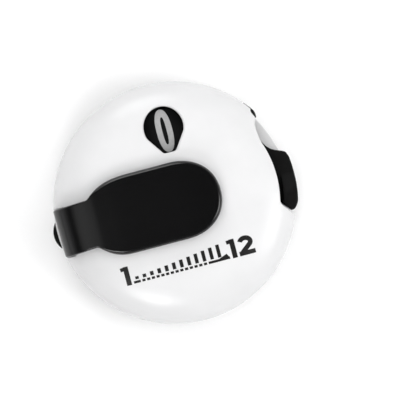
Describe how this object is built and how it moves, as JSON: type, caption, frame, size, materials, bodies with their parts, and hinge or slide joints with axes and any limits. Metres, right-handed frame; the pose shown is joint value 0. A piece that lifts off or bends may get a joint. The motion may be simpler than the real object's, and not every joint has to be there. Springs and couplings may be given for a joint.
{
  "type": "tally counter",
  "caption": "Round pocket tally counter with a window, a thumb lever in a notch at the rim, a reset button in the side and a sprung clip across its face.",
  "frame": {"origin": "centre of the case on its flat back", "axes": "+Z out of the face, +X along the clip to its tip, +Y to the number window"},
  "size_m": [0.0307, 0.03, 0.0125],
  "materials": {
    "shell_white": "gloss",
    "clip_black": "gloss",
    "lever_black": "satin",
    "wheel_black": "matt, with light grey printed numbers",
    "acetal": "natural, satin",
    "bumper_rubber": "matt",
    "steel": "turned",
    "spring_steel": "polished wire and strip"
  },
  "bodies": {
    "case": {"top_shell": "shell_white", "bottom_shell": "shell_white", "clip_root": "clip_black", "lever_stop_bumper": "bumper_rubber", "axle_post": "steel", "centre_screw": "steel", "wheel_retainer": "steel", "thrust_washer": "steel", "wheel_return_spring": "spring_steel", "spring_anchor_pin": "steel", "lever_return_spring": "spring_steel", "hold_pawl_pin": "steel", "hold_pawl_spring": "spring_steel", "reset_spring": "spring_steel"},
    "wheel": {"number_wheel": "wheel_black", "ratchet_wheel": "acetal"},
    "lever": {"count_lever": "lever_black", "drive_pawl_pin": "steel", "drive_pawl_spring": "spring_steel"},
    "feed_pawl": {"drive_pawl": "acetal"},
    "holding_pawl": {"hold_pawl": "acetal", "hold_pawl_leaf": "spring_steel"},
    "reset": {"reset_button": "lever_black"},
    "clip": {"clip_arm": "clip_black"}
  },
  "joints": [
    {"name": "wheel_spin", "type": "hinge", "parent": "case", "child": "wheel", "pos_m": [0.00105, 0, 0.0075], "axis": [0, 0, 1], "range_deg": [0, 332.31], "stiffness_Nm_per_rad": 0.00002, "deforming": ["wheel_return_spring", "hold_pawl_leaf"]},
    {"name": "lever_swing", "type": "hinge", "parent": "case", "child": "lever", "pos_m": [0.00105, 0, 0.0049], "axis": [0, 0, 1], "range_deg": [0, 27.69], "stiffness_Nm_per_rad": 0.002, "deforming": ["lever_return_spring"]},
    {"name": "drive_pawl_swing", "type": "hinge", "parent": "lever", "child": "feed_pawl", "pos_m": [0.00286, -0.00676, 0.0061], "axis": [0, 0, 1], "range_deg": [0, 13], "deforming": ["drive_pawl_spring"]},
    {"name": "reset_push", "type": "slide", "parent": "case", "child": "reset", "axis": [1, 0, 0], "range_m": [0, 0.001], "stiffness_N_per_m": 100, "deforming": ["reset_spring"]},
    {"name": "hold_pawl_swing", "type": "hinge", "parent": "case", "child": "holding_pawl", "pos_m": [-0.0075, 0.004, 0.0061], "axis": [0, 0, 1], "range_deg": [0, 13.4], "deforming": ["hold_pawl_spring"]},
    {"name": "clip_flex", "type": "hinge", "parent": "case", "child": "clip", "pos_m": [-0.01425, 0, 0.00935], "axis": [0, -1, 0], "range_deg": [0, 8], "stiffness_Nm_per_rad": 0.3}
  ],
  "couplings": [
    {"joint": "drive_pawl_swing", "follows": "lever_swing", "ratio": 0.4694},
    {"joint": "hold_pawl_swing", "follows": "reset_push", "rad_per_m": 232.6}
  ]
}
